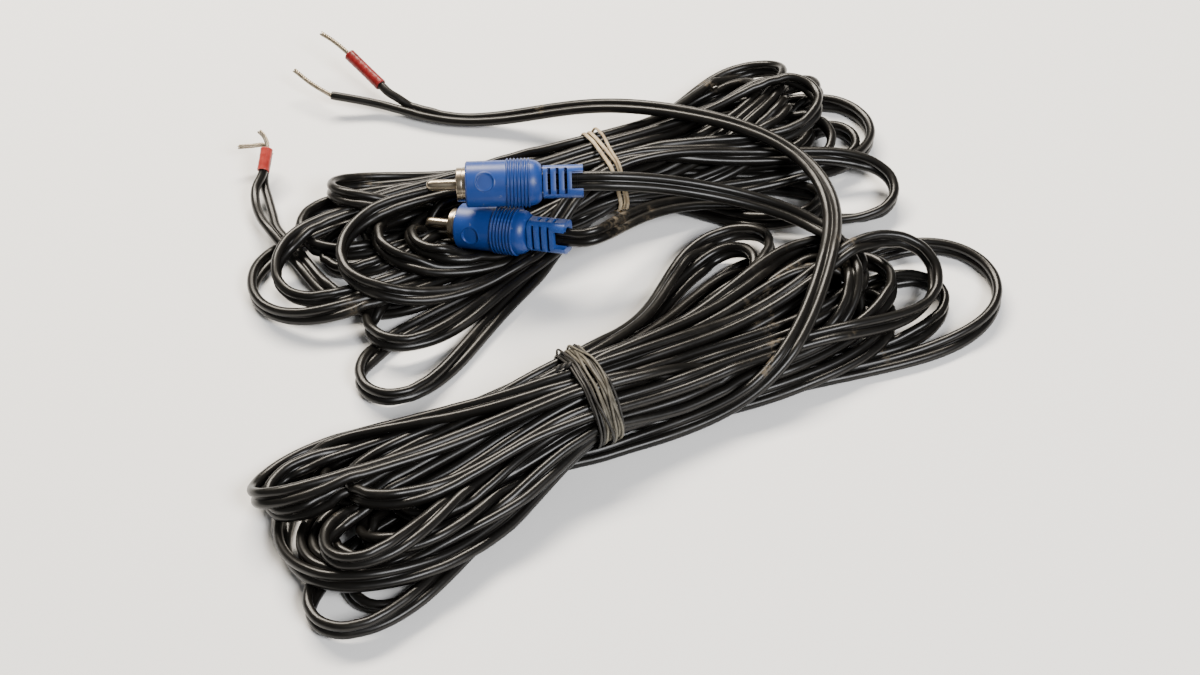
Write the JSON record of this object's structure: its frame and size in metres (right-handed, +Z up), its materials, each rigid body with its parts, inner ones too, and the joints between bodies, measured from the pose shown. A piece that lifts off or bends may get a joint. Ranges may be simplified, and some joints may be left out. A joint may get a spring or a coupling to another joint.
{
  "type": "stereo phono lead pair",
  "caption": "Two flat two-core leads wound into tied hanks, each with a blue moulded phono plug at one end and stripped, tinned tips at the other.",
  "frame": {"origin": "middle of the pair's footprint, on the surface that the hanks lie on", "axes": "+Z up, +X along the longer side of the footprint, with the plugs' noses pointing towards -X"},
  "size_m": [0.2281, 0.2244, 0.0351],
  "materials": {
    "jacket": "semi-gloss flexible PVC",
    "blue_mould": "satin moulded PVC",
    "inner_mould": "matt",
    "nickel": "nickel plate, slightly dull",
    "insulator": "satin",
    "copper": "bare stranded copper",
    "tinned_strand": "tinned, dull",
    "sleeve_red": "semi-gloss heat-shrink",
    "sleeve_salmon": "semi-gloss heat-shrink",
    "rubber_band": "matt, dusty",
    "dark_band": "satin"
  },
  "bodies": {
    "lead_a": {"hank_a": "jacket", "tie_a": "rubber_band", "plug_cord_a": "jacket", "tail_cord_a": "jacket", "leg_marked_a": "jacket", "leg_plain_a": "jacket", "marker_sleeve_a": "sleeve_salmon", "tip_marked_a": "tinned_strand", "tip_plain_a": "tinned_strand"},
    "plug_a": {"plug_body_a": "blue_mould", "boot_a": "blue_mould", "collar_a": "nickel", "centre_pin_a": "nickel", "insulator_a": "insulator", "inner_mould_a": "inner_mould", "cord_in_boot_a": "jacket", "signal_wire_a": "copper", "ground_wire_a": "copper"},
    "lead_b": {"hank_b": "jacket", "tie_b": "dark_band", "plug_cord_b": "jacket", "tail_cord_b": "jacket", "leg_marked_b": "jacket", "leg_plain_b": "jacket", "marker_sleeve_b": "sleeve_red", "tip_marked_b": "tinned_strand", "tip_plain_b": "tinned_strand"},
    "plug_b": {"plug_body_b": "blue_mould", "boot_b": "blue_mould", "collar_b": "nickel", "centre_pin_b": "nickel", "insulator_b": "insulator", "inner_mould_b": "inner_mould", "cord_in_boot_b": "jacket", "signal_wire_b": "copper", "ground_wire_b": "copper"}
  },
  "joints": [
    {"name": "plug_a_flex", "type": "hinge", "parent": "lead_a", "child": "plug_a", "pos_m": [-0.01681, 0.01606, 0.01548], "axis": [0.0211, 0.529, 0.8484], "range_deg": [0, 25], "stiffness_Nm_per_rad": 0.05, "deforming": ["boot_a", "cord_in_boot_a"]},
    {"name": "lead_b_lift", "type": "slide", "parent": "lead_a", "child": "lead_b", "axis": [0, 0, 1], "range_m": [0, 0.12]},
    {"name": "plug_b_flex", "type": "hinge", "parent": "lead_b", "child": "plug_b", "pos_m": [-0.01289, 0.02524, 0.028], "axis": [-0.043, 0.9991, 0], "range_deg": [0, 35], "stiffness_Nm_per_rad": 0.05, "deforming": ["boot_b", "cord_in_boot_b"]}
  ]
}
